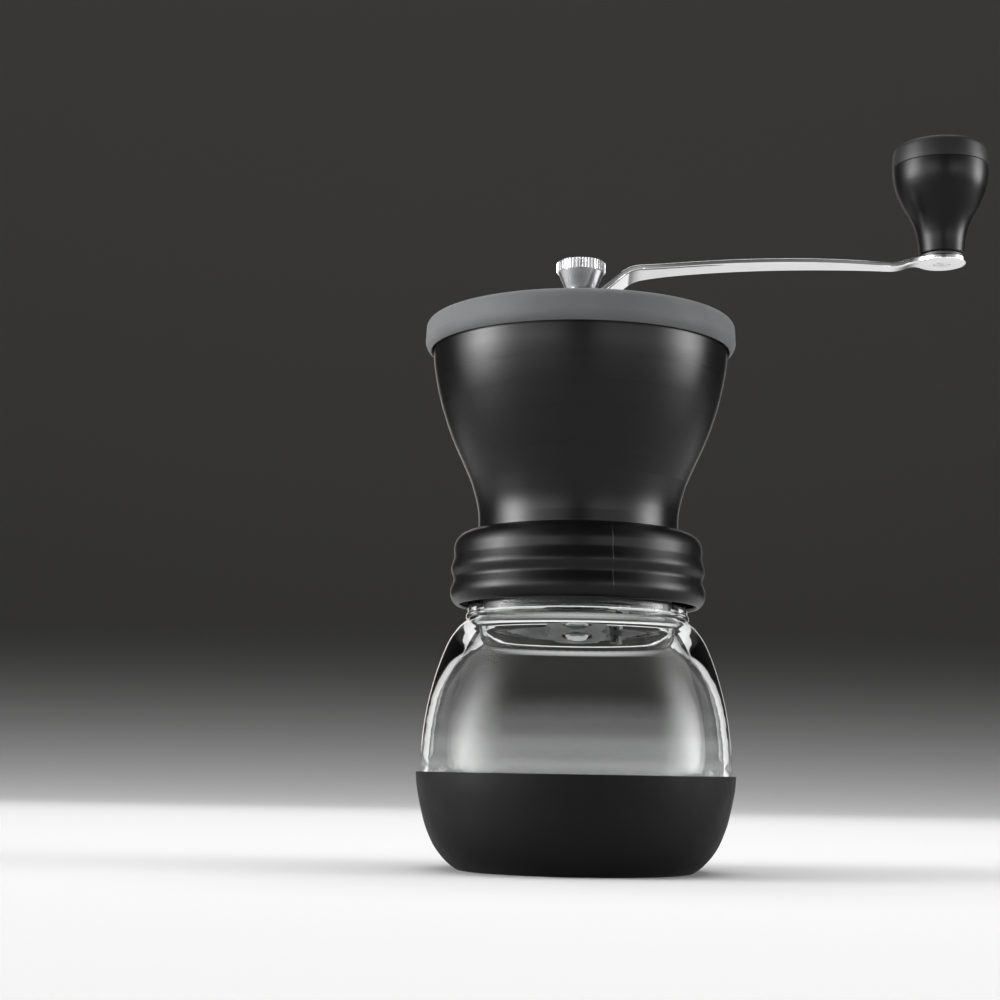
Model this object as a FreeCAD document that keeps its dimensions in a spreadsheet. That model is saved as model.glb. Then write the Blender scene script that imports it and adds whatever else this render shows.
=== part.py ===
import FreeCAD, Part
import math
import os
import Sketcher
from FreeCAD import Placement, Rotation, Vector

# Hand crank coffee grinder. Millimetres, +Z up, origin at the centre of the
# resting face, on the axis of the shaft. The crank points along +X.

doc = FreeCAD.newDocument("coffee_grinder")

# ---------------------------------------------------------------------------
# driving dimensions
# ---------------------------------------------------------------------------

DIMENSIONS = [
    # jar and boot
    ("boot_rim_radius", 47.5), ("boot_rim_height", 28.3), ("boot_wall", 1.1),
    ("boot_floor", 1.6), ("boot_foot_radius", 34.9), ("boot_gap", 0.05),
    ("jar_neck_radius", 33.0), ("jar_mouth_radius", 29.4), ("jar_mouth_height", 92.4),
    ("jar_floor_height", 7.0),
    # jar thread
    ("thread_pitch", 5.0), ("thread_turns", 2.0), ("jar_thread_start", 79.4),
    ("jar_thread_crest", 35.0), ("jar_thread_root_half", 1.5), ("jar_thread_crest_half", 0.8),
    ("collar_thread_crest", 33.5), ("collar_thread_root_half", 1.4), ("collar_thread_crest_half", 0.8),
    ("thread_bite", 0.4),
    # collar
    ("collar_bore_radius", 35.6), ("collar_foot", 78.0), ("collar_floor_low", 94.2),
    ("collar_floor_top", 97.2), ("collar_mouth_radius", 30.3), ("collar_top", 100.6),
    ("burr_seat_radius", 22.1), ("burr_housing_radius", 23.6), ("burr_housing_foot", 79.2),
    # gasket
    ("gasket_inner", 29.7), ("gasket_outer", 34.6), ("gasket_low", 92.6), ("gasket_top", 94.0),
    # hopper
    ("hopper_neck_radius", 30.2), ("hopper_wall", 1.6), ("hopper_rim_radius", 45.0),
    ("hopper_rim_height", 161.5), ("hopper_flange_inner", 23.6), ("hopper_flange_top", 98.7),
    # bridge and bushes
    ("bridge_ring_outer", 28.4), ("bridge_ring_inner", 23.8), ("bridge_ring_top", 104.2),
    ("bridge_web", 3.2), ("bridge_tube_outer", 8.6), ("bush_seat_radius", 6.5),
    ("bridge_tube_low", 112.4), ("bridge_tube_top", 147.4), ("bridge_legs", 3),
    ("bush_length", 9.0), ("bush_flange", 1.0), ("bush_flange_radius", 8.0),
    # screws
    ("bridge_screw_circle", 26.1), ("retainer_screw_circle", 25.8), ("screw_radius", 1.2),
    ("screw_clearance", 0.05), ("screw_head_radius", 1.95), ("screw_head_height", 1.3),
    ("screw_boss_radius", 2.35), ("screw_slot_width", 0.55), ("screw_slot_depth", 0.6),
    # shaft
    ("shaft_radius", 4.0), ("shaft_running_gap", 0.05), ("shaft_key_radius", 3.5),
    ("shaft_flat", 2.7), ("shaft_foot", 71.9),
    ("shaft_key_top", 109.6), ("crank_seat", 171.95),
    ("crank_key_top", 173.4), ("stud_radius", 2.5), ("stud_top", 182.9),
    ("circlip_low", 149.0), ("circlip_thick", 0.8), ("circlip_groove", 3.5), ("circlip_outer", 6.4),
    ("washer_low", 110.2), ("washer_thick", 0.8), ("washer_outer", 7.8),
    # spring
    ("spring_radius", 5.7), ("spring_wire", 0.6), ("spring_low", 98.95), ("spring_top", 109.45),
    ("spring_turns", 5.0),
    # burrs and adjuster
    ("outer_burr_radius", 22.0), ("outer_burr_low", 79.2), ("outer_burr_top", 97.2),
    ("inner_burr_low", 80.0), ("inner_burr_top", 96.6), ("inner_burr_bore", 5.95),
    ("inner_burr_radius", 17.5), ("fine_teeth", 36), ("coarse_teeth", 6),
    ("hub_radius", 5.9), ("hub_flange_radius", 9.0), ("hub_flange_low", 78.6), ("hub_top", 98.2),
    ("key_gap", 0.08), ("detent_low", 77.6), ("detent_top", 78.5), ("detent_radius", 8.0),
    ("retainer_inner", 19.8), ("retainer_outer", 28.4), ("retainer_low", 76.6),
    ("adjuster_radius", 10.2), ("adjuster_low", 72.4), ("adjuster_top", 77.5), ("adjuster_lobes", 10),
    ("insert_radius", 4.6), ("insert_low", 73.0), ("detent_pips", 12),
    # lid
    ("lid_radius", 47.45), ("lid_top", 165.0), ("lid_recess_radius", 45.4), ("lid_underside", 162.0),
    ("lid_plug_outer", 42.9), ("lid_plug_inner", 41.1), ("lid_hole_radius", 4.7), ("lid_boss_top", 170.8),
    # crank
    ("strap_thick", 1.7), ("hub_plate_low", 172.0), ("strap_slope", 42.0), ("hub_flat", 5.6),
    ("hub_bend", 1.5), ("slope_length", 8.5), ("strap_bend", 12.0), ("strap_rise_end", 6.5),
    ("strap_crest", 70.0), ("strap_neck", 94.5), ("strap_edge", 0.45), ("crank_reach", 110.6),
    ("disc_radius", 7.4), ("disc_low", 185.0), ("disc_step_radius", 12.0), ("hub_radius_plan", 9.3),
    ("neck_half", 2.65), ("neck_fillet", 6.0),
    ("axle_radius", 3.0), ("axle_foot_radius", 2.5), ("axle_top", 210.6), ("axle_gap", 0.06),
    ("axle_neck_radius", 2.5),
    # knob
    ("knob_low", 187.9), ("knob_washer_low", 186.8), ("knob_washer_radius", 6.5),
    ("knob_split", 215.4), ("knob_split_gap", 0.06), ("knob_cavity_radius", 9.0), ("knob_cavity_low", 207.6),
    ("knob_top", 223.55), ("knob_belly_radius", 14.6),
    ("retaining_low", 208.2), ("retaining_thick", 0.8), ("retaining_outer", 6.2),
    # thumb nut
    ("nut_washer_low", 173.75), ("nut_washer_thick", 0.7), ("nut_washer_outer", 4.6),
    ("nut_low", 174.5), ("nut_band_low", 181.6), ("nut_top", 184.8), ("nut_radius", 7.5),
    ("nut_foot_radius", 4.3), ("nut_bore_gap", 0.05), ("nut_bore_top", 183.3), ("knurls", 48),
    ("knurl_depth", 0.42), ("knurl_half", 0.27), ("knurl_floor_half", 0.21), ("knurl_bevel", 0.15),
]

# free-form outlines, each a list of (radius, height) stations
STATIONS = {
    "boot": [(36.5, 1.0), (38.4, 2.6), (40.2, 4.6), (41.9, 7.0), (43.4, 10.0), (44.6, 13.1),
             (45.55, 16.4), (46.3, 19.7), (46.95, 22.9), (47.35, 25.8)],
    "jar_outer": [(46.3, 31.8), (46.15, 35.2), (45.87, 38.5), (45.5, 42.0), (45.0, 45.4),
                  (44.42, 48.6), (43.85, 51.2), (43.25, 53.6), (42.55, 56.2), (41.75, 58.9),
                  (40.75, 61.8), (39.68, 64.6), (38.75, 66.7), (37.65, 68.7), (36.4, 70.5),
                  (35.2, 71.9)],
    "jar_inner": [(30.9, 70.3), (32.8, 67.9), (35.1, 64.7), (37.4, 60.9), (39.6, 56.0),
                  (41.2, 51.0), (42.45, 45.0), (43.25, 38.5), (43.6, 32.0), (43.55, 26.0),
                  (42.9, 20.0), (41.6, 15.5), (39.4, 11.6), (35.8, 8.7), (31.5, 7.25)],
    "collar": [(37.55, 79.0), (38.2, 80.35), (38.4, 81.9), (38.05, 83.7), (37.45, 85.5),
               (37.88, 87.3), (38.2, 88.9), (37.9, 90.5), (37.35, 92.3), (37.4, 93.9),
               (37.45, 95.2), (37.2, 96.5), (36.7, 97.65), (35.85, 98.7), (34.6, 99.55), (33.1, 100.1)],
    "hopper": [(30.42, 106.8), (30.95, 109.7), (31.7, 112.4), (32.6, 115.3), (33.72, 118.0),
               (34.88, 120.6), (36.12, 123.3), (37.3, 125.8), (38.42, 128.4), (39.6, 131.4),
               (40.65, 134.5), (41.62, 137.5), (42.48, 140.5), (43.2, 143.5), (43.8, 146.4),
               (44.3, 149.1), (44.72, 152.2)],
    "knob": [(6.95, 189.95), (7.2, 192.4), (8.05, 196.1), (9.35, 199.35), (11.05, 202.35),
             (12.65, 205.7), (13.75, 208.8), (14.35, 211.75)],
}


class Size:
    """A number together with the sheet formula that gives it."""

    def __init__(self, value, text):
        self.value = float(value)
        self.text = text

    def __float__(self):
        return self.value

    def __add__(self, other):
        other = size(other)
        return Size(self.value + other.value, "(%s + %s)" % (self.text, other.text))

    def __sub__(self, other):
        other = size(other)
        return Size(self.value - other.value, "(%s - %s)" % (self.text, other.text))

    def __mul__(self, other):
        other = size(other)
        return Size(self.value * other.value, "(%s * %s)" % (self.text, other.text))

    def __truediv__(self, other):
        other = size(other)
        return Size(self.value / other.value, "(%s / %s)" % (self.text, other.text))


def size(value):
    return value if isinstance(value, Size) else Size(value, "%.6g" % float(value))


sheet = doc.addObject("Spreadsheet::Sheet", "Sizes")
CELLS = {}
row = 1


def put(alias, value):
    global row
    sheet.set("A%d" % row, alias)
    sheet.set("B%d" % row, repr(value))
    sheet.setAlias("B%d" % row, alias)
    CELLS[alias] = Size(value, "Sizes." + alias)
    row += 1


for alias, value in DIMENSIONS:
    put(alias, value)
for name, stations in STATIONS.items():
    for number, (radius, height) in enumerate(stations, 1):
        put("%s_st%02d_radius" % (name, number), radius)
        put("%s_st%02d_height" % (name, number), height)
doc.recompute()


def S(alias):
    return CELLS[alias]


def stations(name):
    return [(S("%s_st%02d_radius" % (name, n)), S("%s_st%02d_height" % (name, n)))
            for n in range(1, len(STATIONS[name]) + 1)]


# ---------------------------------------------------------------------------
# helpers
# ---------------------------------------------------------------------------

class Arc:
    """A circular side of an outline, through one point to another."""

    def __init__(self, via, to):
        self.via = via
        self.to = to


class Smooth:
    """A smooth side through points, with the directions it leaves and arrives in."""

    def __init__(self, points, leaving, arriving):
        self.points = points
        self.leaving = leaving
        self.arriving = arriving


def vec(point):
    return Vector(float(point[0]), float(point[1]), 0)


def inset(points, depth):
    """Points moved to the left of their direction of travel by depth."""
    flat = [(float(a), float(b)) for a, b in points]
    moved = []
    for i, (x, y) in enumerate(flat):
        a = flat[max(i - 1, 0)]
        b = flat[min(i + 1, len(flat) - 1)]
        dx, dy = b[0] - a[0], b[1] - a[1]
        length = math.hypot(dx, dy)
        moved.append((x - dy / length * depth, y + dx / length * depth))
    return moved


def new_body(label):
    body = doc.addObject("PartDesign::Body", label)
    body.Label = label
    return body


def datum(body, role):
    return [o for o in body.Origin.OriginFeatures if o.Role == role][0]


def new_sketch(body, name, role="XZ_Plane", lift=None):
    sk = body.newObject("Sketcher::SketchObject", name)
    sk.AttachmentSupport = (datum(body, role), [""])
    sk.MapMode = "FlatFace"
    if lift is not None:
        sk.AttachmentOffset = Placement(Vector(0, 0, float(lift)), Rotation())
        if isinstance(lift, Size):
            sk.setExpression("AttachmentOffset.Base.z", lift.text)
    return sk


def outline(sk, path):
    """A closed outline. A point makes a straight side, a list a smooth curve
    through its points, an Arc a circular side; the last side closes it."""
    sides = []
    here = path[0]
    for item in path[1:] + [path[0]]:
        if isinstance(item, list):
            curve = Part.BSplineCurve()
            curve.interpolate([vec(here)] + [vec(p) for p in item])
            sides.append((curve, here, item[-1]))
            here = item[-1]
        elif isinstance(item, Smooth):
            curve = Part.BSplineCurve()
            curve.interpolate(Points=[vec(here)] + [vec(p) for p in item.points],
                              InitialTangent=vec(item.leaving), FinalTangent=vec(item.arriving))
            sides.append((curve, here, item.points[-1]))
            here = item.points[-1]
        elif isinstance(item, Arc):
            sides.append((Part.Arc(vec(here), vec(item.via), vec(item.to)), here, item.to))
            here = item.to
        elif (vec(item) - vec(here)).Length > 1e-7:
            sides.append((Part.LineSegment(vec(here), vec(item)), here, item))
            here = item
    first = sk.GeometryCount
    sk.addGeometry([s[0] for s in sides], False)
    ends = []
    for i, (curve, a, b) in enumerate(sides):
        forward = (sk.getPoint(first + i, 1) - vec(a)).Length < 1e-5
        ends.append((1, 2) if forward else (2, 1))
    rules, texts = [], []
    for i, (curve, a, b) in enumerate(sides):
        j = (i + 1) % len(sides)
        rules.append(Sketcher.Constraint("Coincident", first + i, ends[i][1], first + j, ends[j][0]))
        texts.append(None)
        for kind, axis, coordinate in (("DistanceX", -2, a[0]), ("DistanceY", -1, a[1])):
            if abs(float(coordinate)) < 1e-9:
                rules.append(Sketcher.Constraint("PointOnObject", first + i, ends[i][0], axis))
                texts.append(None)
            else:
                rules.append(Sketcher.Constraint(kind, -1, 1, first + i, ends[i][0], float(coordinate)))
                texts.append(coordinate.text if isinstance(coordinate, Size) else None)
    start = sk.ConstraintCount
    sk.addConstraint(rules)
    for i, text in enumerate(texts):
        if text:
            sk.setExpression("Constraints[%d]" % (start + i), text)


def ring(sk, radius, cx=0.0, cy=0.0):
    """A circle whose radius and centre follow the sheet."""
    g = sk.addGeometry(Part.Circle(Vector(float(cx), float(cy), 0), Vector(0, 0, 1), float(radius)), False)
    wanted = [("Radius", radius, None), ("DistanceX", cx, -2), ("DistanceY", cy, -1)]
    for kind, value, axis in wanted:
        if kind == "Radius":
            n = sk.addConstraint(Sketcher.Constraint("Radius", g, float(value)))
        elif abs(float(value)) < 1e-9:
            n = sk.addConstraint(Sketcher.Constraint("PointOnObject", g, 3, axis))
            continue
        else:
            n = sk.addConstraint(Sketcher.Constraint(kind, -1, 1, g, 3, float(value)))
        if isinstance(value, Size):
            sk.setExpression("Constraints[%d]" % n, value.text)


def turned(body, name, path):
    """A solid of revolution about the shaft's axis."""
    sk = new_sketch(body, name + "_outline")
    outline(sk, path)
    feature = body.newObject("PartDesign::Revolution", name)
    feature.Profile = sk
    feature.ReferenceAxis = (sk, ["V_Axis"])
    feature.Angle = 360.0
    return feature


def extruded(body, kind, name, sk, length, reverse=False, symmetric=False):
    feature = body.newObject("PartDesign::" + kind, name)
    feature.Profile = sk
    feature.Length = float(length)
    if isinstance(length, Size):
        feature.setExpression("Length", length.text)
    if symmetric:
        feature.SideType = "Symmetric"
    feature.Reversed = reverse
    return feature


def repeated(body, name, features, count):
    doc.recompute()
    pattern = body.newObject("PartDesign::PolarPattern", name)
    pattern.Originals = features
    pattern.Axis = (datum(body, "Z_Axis"), [""])
    pattern.Angle = 360.0
    pattern.Occurrences = int(float(count))
    if isinstance(count, Size):
        pattern.setExpression("Occurrences", count.text)
    body.Tip = pattern
    return pattern


def cut_down(body, name, draw, from_height, depth, pattern=None):
    """A pocket straight down from a height, repeated round the axis."""
    sk = new_sketch(body, name + "_outline", "XY_Plane", from_height)
    draw(sk)
    before = volume_of(body)
    feature = extruded(body, "Pocket", name, sk, depth)
    doc.recompute()
    if not body.Shape.isValid() or body.Shape.Volume > before - 1e-4:
        raise RuntimeError("%s cuts nothing from %s" % (name, body.Label))
    if pattern is not None:
        repeated(body, name + "_pattern", [feature], pattern)
        doc.recompute()
    return feature


def volume_of(body):
    doc.recompute()
    return body.Shape.Volume


def helical(body, name, path, pitch, turns):
    """A ridge of the given section wound up the axis, right-handed."""
    sk = new_sketch(body, name + "_section")
    outline(sk, path)
    doc.recompute()
    feature = body.newObject("PartDesign::AdditiveHelix", name)
    feature.Profile = sk
    feature.ReferenceAxis = (sk, ["V_Axis"])
    feature.Mode = "pitch-turns-angle"
    feature.Pitch = float(pitch)
    feature.Turns = float(turns)
    feature.Angle = 0.0
    feature.LeftHanded = False
    feature.setExpression("Pitch", pitch.text)
    feature.setExpression("Turns", turns.text)
    return feature


NODES = {}


def node(label, obj):
    obj.Label = label
    NODES[label] = obj
    return obj


def flats(sk, radius, flat):
    """A round with two flats, facing front and back."""
    r, f = float(radius), float(flat)
    x = math.sqrt(r * r - f * f)
    outline(sk, [(-x, -f), (x, -f), Arc((r, 0.0), (x, f)), (-x, f), Arc((-r, 0.0), (-x, -f))])


# ---------------------------------------------------------------------------
# jar: glass and rubber boot
# ---------------------------------------------------------------------------

boot_outer = [(S("boot_foot_radius"), 0.0)] + stations("boot")
boot_rim = (S("boot_rim_radius"), S("boot_rim_height"))
skin = [(float(a), float(b)) for a, b in boot_outer + [boot_rim]]

boot_inside = inset(skin, float(S("boot_wall")))
boot_inside = [p for p in boot_inside if p[1] > float(S("boot_floor")) + 0.9]
boot_inside[-1] = (float(S("boot_rim_radius") - S("boot_wall")), float(S("boot_rim_height")))
boot = new_body("base_boot")
turned(boot, "boot_shell", [
    (0.0, 0.0), (23.6, 0.0), (24.0, 0.5), (25.2, 0.5), (25.6, 0.0), (28.6, 0.0), (29.0, 0.5),
    (30.2, 0.5), (30.6, 0.0), (S("boot_foot_radius"), 0.0),
    boot_outer[1:] + [boot_rim],
    (S("boot_rim_radius") - S("boot_wall"), S("boot_rim_height")),
    list(reversed(boot_inside[:-1])) + [(35.4, S("boot_floor"))],
    (0.0, S("boot_floor")),
])
node("base_boot", boot)

glass_low = inset(skin, float(S("boot_wall") + S("boot_gap")))
glass_low = [p for p in glass_low if p[1] > float(S("boot_floor")) + 1.0]
glass_low = [(p[0], p[1] + (0.05 if i < 3 else 0.0)) for i, p in enumerate(glass_low)][:-1]
glass_rim = (S("boot_rim_radius") - S("boot_wall") - S("boot_gap"), S("boot_rim_height"))
neck = S("jar_neck_radius")
mouth = S("jar_mouth_radius")
lip = S("jar_mouth_height")
jar = new_body("glass_jar")
turned(jar, "jar_wall", [
    (0.0, 3.4), [(14.0, 2.9), (24.0, 2.0), (29.0, S("boot_floor") + S("boot_gap"))],
    (34.8, S("boot_floor") + S("boot_gap")),
    glass_low + [glass_rim] + stations("jar_outer") + [(neck + 1.0, 72.9), (neck + 0.35, 73.7)],
    [(neck + 0.55, 74.4), (neck + 0.45, 75.1), (neck + 0.05, 75.6)],
    (neck, 76.2),
    (neck, lip - 0.9),
    Arc((neck - 0.264, lip - 0.264), (neck - 0.9, lip)),
    (mouth + 0.9, lip),
    Arc((mouth + 0.264, lip - 0.264), (mouth, lip - 0.9)),
    (mouth, 75.5),
    [(mouth + 0.35, 72.8)] + stations("jar_inner") + [(27.0, S("jar_floor_height"))],
    (0.0, S("jar_floor_height")),
])
bite = S("thread_bite")
start = S("jar_thread_start")
helical(jar, "jar_thread", [
    (neck - bite, start - S("jar_thread_root_half")),
    (neck, start - S("jar_thread_root_half")),
    (S("jar_thread_crest"), start - S("jar_thread_crest_half")),
    (S("jar_thread_crest"), start + S("jar_thread_crest_half")),
    (neck, start + S("jar_thread_root_half")),
    (neck - bite, start + S("jar_thread_root_half")),
], S("thread_pitch"), S("thread_turns"))
node("glass_jar", jar)

gasket = new_body("jar_gasket")
turned(gasket, "gasket_ring", [
    (S("gasket_inner"), S("gasket_low")), (S("gasket_outer"), S("gasket_low")),
    (S("gasket_outer"), S("gasket_top")), (S("gasket_inner"), S("gasket_top")),
])
node("jar_gasket", gasket)

# ---------------------------------------------------------------------------
# mill: collar, hopper, bridge, bushes, outer burr
# ---------------------------------------------------------------------------

bore = S("collar_bore_radius")
collar = new_body("threaded_collar")
turned(collar, "collar_wall", [
    (bore, S("collar_foot") + 0.5), (bore + 0.4, S("collar_foot")), (bore + 0.9, S("collar_foot")),
    stations("collar") + [(S("collar_mouth_radius") + 0.9, S("collar_top") - 0.15)],
    (S("collar_mouth_radius") + 0.45, S("collar_top") - 0.35),
    (S("collar_mouth_radius") + 0.05, S("collar_top") - 0.9),
    (S("collar_mouth_radius") + 0.05, S("collar_floor_top")),
    (S("burr_seat_radius"), S("collar_floor_top")),
    (S("burr_seat_radius"), S("burr_housing_foot")),
    (S("burr_housing_radius"), S("burr_housing_foot")),
    (S("burr_housing_radius"), S("collar_floor_low")),
    (bore, S("collar_floor_low")),
])
# bosses for the retainer's screws, between the bridge's screws
boss_sketch = new_sketch(collar, "boss_outline", "XY_Plane", S("burr_housing_foot"))
ring(boss_sketch, S("screw_boss_radius"), S("retainer_screw_circle") * 0.5,
     S("retainer_screw_circle") * 0.8660254)
boss = extruded(collar, "Pad", "boss", boss_sketch, S("collar_floor_low") - S("burr_housing_foot"))
repeated(collar, "bosses", [boss], S("bridge_legs"))
cut_down(collar, "boss_hole",
         lambda sk: ring(sk, S("screw_radius") + S("screw_clearance"),
                         S("retainer_screw_circle") * 0.5, S("retainer_screw_circle") * 0.8660254),
         S("burr_housing_foot") + 10.0, 10.0, S("bridge_legs"))
cut_down(collar, "floor_hole",
         lambda sk: ring(sk, S("screw_radius") + S("screw_clearance"), S("bridge_screw_circle"), 0.0),
         S("collar_floor_top"), S("collar_floor_top") - S("collar_floor_low"), S("bridge_legs"))
low = S("jar_thread_start") + S("thread_pitch") * 0.5
helical(collar, "collar_thread", [
    (bore + bite, low - S("collar_thread_root_half")),
    (bore, low - S("collar_thread_root_half")),
    (S("collar_thread_crest"), low - S("collar_thread_crest_half")),
    (S("collar_thread_crest"), low + S("collar_thread_crest_half")),
    (bore, low + S("collar_thread_root_half")),
    (bore + bite, low + S("collar_thread_root_half")),
], S("thread_pitch"), S("thread_turns") * 0.75)
node("threaded_collar", collar)

hopper_skin = [(S("hopper_neck_radius"), 104.0)] + stations("hopper") + [
    (S("hopper_rim_radius") - 0.05, 155.2)]
hopper_inside = inset(hopper_skin, float(S("hopper_wall")))
hopper_inside[0] = (float(S("hopper_neck_radius") - S("hopper_wall")), 104.0)
hopper_inside[-1] = (float(S("hopper_rim_radius") - S("hopper_wall")) - 0.05, 155.2)
rim = S("hopper_rim_radius")
rim_top = S("hopper_rim_height")
hopper = new_body("hopper")
turned(hopper, "hopper_wall_shape", [
    (S("hopper_neck_radius"), S("collar_floor_top")),
    hopper_skin[0],
    hopper_skin[1:],
    (rim, rim_top - 0.7),
    Arc((rim - 0.205, rim_top - 0.205), (rim - 0.7, rim_top)),
    (rim - S("hopper_wall") + 0.7, rim_top),
    Arc((rim - S("hopper_wall") + 0.205, rim_top - 0.205), (rim - S("hopper_wall"), rim_top - 0.7)),
    hopper_inside[-1],
    list(reversed(hopper_inside[:-1])),
    (S("hopper_neck_radius") - S("hopper_wall"), S("hopper_flange_top")),
    (S("hopper_flange_inner"), S("hopper_flange_top")),
    (S("hopper_flange_inner"), S("collar_floor_top")),
])
cut_down(hopper, "flange_hole",
         lambda sk: ring(sk, S("screw_radius") + S("screw_clearance"), S("bridge_screw_circle"), 0.0),
         S("hopper_flange_top"), S("hopper_flange_top") - S("collar_floor_top"), S("bridge_legs"))
node("hopper", hopper)

# bridge: a tube for the shaft on three legs that stand on a ring
tube = S("bridge_tube_outer")
seat = S("bush_seat_radius")
bridge = new_body("bearing_bridge")
turned(bridge, "bridge_tube", [
    (seat, S("bridge_tube_low")), (tube, S("bridge_tube_low")),
    (tube, S("bridge_tube_top") - 1.0), (tube - 1.0, S("bridge_tube_top")),
    (seat, S("bridge_tube_top")),
])
web_sketch = new_sketch(bridge, "web_outline")
outline(web_sketch, [
    (tube - 0.8, S("bridge_tube_low")), (tube - 0.8, 138.0), (tube + 0.6, 138.0),
    [(11.5, 131.0), (17.0, 120.0), (23.5, 110.5), (S("bridge_ring_outer") - 0.6, S("bridge_ring_top"))],
    (S("bridge_ring_outer") - 0.6, S("hopper_flange_top") + 0.05),
    (S("bridge_ring_inner") + 0.6, S("hopper_flange_top") + 0.05),
    [(21.0, 104.0), (16.0, 109.5), (tube + 1.2, S("bridge_tube_low"))],
])
web = extruded(bridge, "Pad", "web", web_sketch, S("bridge_web"), symmetric=True)
repeated(bridge, "webs", [web], S("bridge_legs"))
turned(bridge, "bridge_ring", [
    (S("bridge_ring_inner"), S("hopper_flange_top") + 0.05),
    (S("bridge_ring_outer"), S("hopper_flange_top") + 0.05),
    (S("bridge_ring_outer"), S("bridge_ring_top") - 0.6),
    (S("bridge_ring_outer") - 0.6, S("bridge_ring_top")),
    (S("bridge_ring_inner") + 0.6, S("bridge_ring_top")),
    (S("bridge_ring_inner"), S("bridge_ring_top") - 0.6),
])
doc.recompute()
cut_down(bridge, "ring_hole",
         lambda sk: ring(sk, S("screw_radius") + S("screw_clearance"), S("bridge_screw_circle"), 0.0),
         S("hopper_flange_top") + 5.0, 5.2, S("bridge_legs"))
node("bearing_bridge", bridge)

run = S("shaft_radius") + S("shaft_running_gap")
for label, z_face, up in (("upper_bush", S("bridge_tube_top"), -1.0), ("lower_bush", S("bridge_tube_low"), 1.0)):
    bush = new_body(label)
    inner_end = z_face + S("bush_length") * up
    flange_end = z_face - S("bush_flange") * up
    turned(bush, label + "_sleeve", [
        (run, flange_end), (S("bush_flange_radius"), flange_end), (S("bush_flange_radius"), z_face),
        (seat - 0.02, z_face), (seat - 0.02, inner_end), (run, inner_end),
    ])
    node(label, bush)


def screws(label, circle, first_angle, head_low, shank_end):
    """Three slotted screws; the heads face down."""
    made = []
    for k in range(3):
        a = math.radians(first_angle + 120.0 * k)
        spot = Vector(float(circle) * math.cos(a), float(circle) * math.sin(a), 0)
        head = doc.addObject("Part::Cylinder", label + "_head")
        head.setExpression("Radius", "Sizes.screw_head_radius")
        head.setExpression("Height", "Sizes.screw_head_height")
        head.Placement = Placement(spot + Vector(0, 0, float(head_low)), Rotation())
        shank = doc.addObject("Part::Cylinder", label + "_shank")
        shank.setExpression("Radius", "Sizes.screw_radius")
        shank.setExpression("Height", (shank_end - head_low - S("screw_head_height") * 0.5).text)
        shank.Placement = Placement(spot + Vector(0, 0, float(head_low + S("screw_head_height") * 0.5)), Rotation())
        whole = doc.addObject("Part::Fuse", label + "_blank")
        whole.Base, whole.Tool = head, shank
        slot = doc.addObject("Part::Box", label + "_slot")
        slot.setExpression("Length", "Sizes.screw_head_radius * 3")
        slot.setExpression("Width", "Sizes.screw_slot_width")
        slot.setExpression("Height", "Sizes.screw_slot_depth * 2")
        w = float(S("screw_slot_width"))
        ln = float(S("screw_head_radius")) * 3
        slot.Placement = Placement(
            spot + Vector(0, 0, float(head_low - S("screw_slot_depth"))),
            Rotation(Vector(0, 0, 1), first_angle + 120.0 * k + 35.0)).multiply(
            Placement(Vector(-ln / 2, -w / 2, 0), Rotation()))
        done = doc.addObject("Part::Cut", label + "_one")
        done.Base, done.Tool = whole, slot
        made.append(done)
    group = doc.addObject("Part::Compound", label)
    group.Links = made
    return node(label, group)


screws("bridge_screws", S("bridge_screw_circle"), 0.0,
       S("collar_floor_low") - S("screw_head_height") - 0.02, S("hopper_flange_top") + 4.6)
screws("retainer_screws", S("retainer_screw_circle"), 60.0,
       S("retainer_low") - S("screw_head_height") - 0.02, S("burr_housing_foot") + 9.6)

# outer burr: a ceramic ring, wide at the top where it feeds, toothed inside
outer_burr = new_body("outer_burr")
turned(outer_burr, "ring_burr", [
    (18.4, S("outer_burr_low")), (S("outer_burr_radius"), S("outer_burr_low")),
    (S("outer_burr_radius"), S("outer_burr_top")), (20.6, S("outer_burr_top")),
    (16.4, 88.6), (16.9, 85.5),
])


def notch(inner, outer, half, twist):
    """A slanted V across a ring of teeth."""
    def draw(sk):
        outline(sk, [(inner, 0.0), (outer, half + twist), (outer, twist - half)])
    return draw


cut_down(outer_burr, "fine_tooth", notch(20.3, 16.2, 1.1, 0.5), 85.4, 85.4 - 79.0, S("fine_teeth"))
cut_down(outer_burr, "coarse_tooth", notch(21.2, 14.5, 3.4, 1.2), S("outer_burr_top") + 0.1, 10.4, 12)
node("outer_burr", outer_burr)

retainer = new_body("burr_retainer")
turned(retainer, "retainer_ring", [
    (S("retainer_inner"), S("retainer_low") + 0.5), (S("retainer_inner") + 0.5, S("retainer_low")),
    (S("retainer_outer") - 0.5, S("retainer_low")), (S("retainer_outer"), S("retainer_low") + 0.5),
    (S("retainer_outer"), S("burr_housing_foot") - 0.02), (S("retainer_inner"), S("burr_housing_foot") - 0.02),
])
cut_down(retainer, "retainer_hole",
         lambda sk: ring(sk, S("screw_radius") + S("screw_clearance"),
                         S("retainer_screw_circle") * 0.5, S("retainer_screw_circle") * 0.8660254),
         S("burr_housing_foot") + 0.2, 3.4, S("bridge_legs"))
node("burr_retainer", retainer)

# ---------------------------------------------------------------------------
# spindle: shaft, circlip, thrust washer, spring
# ---------------------------------------------------------------------------

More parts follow.
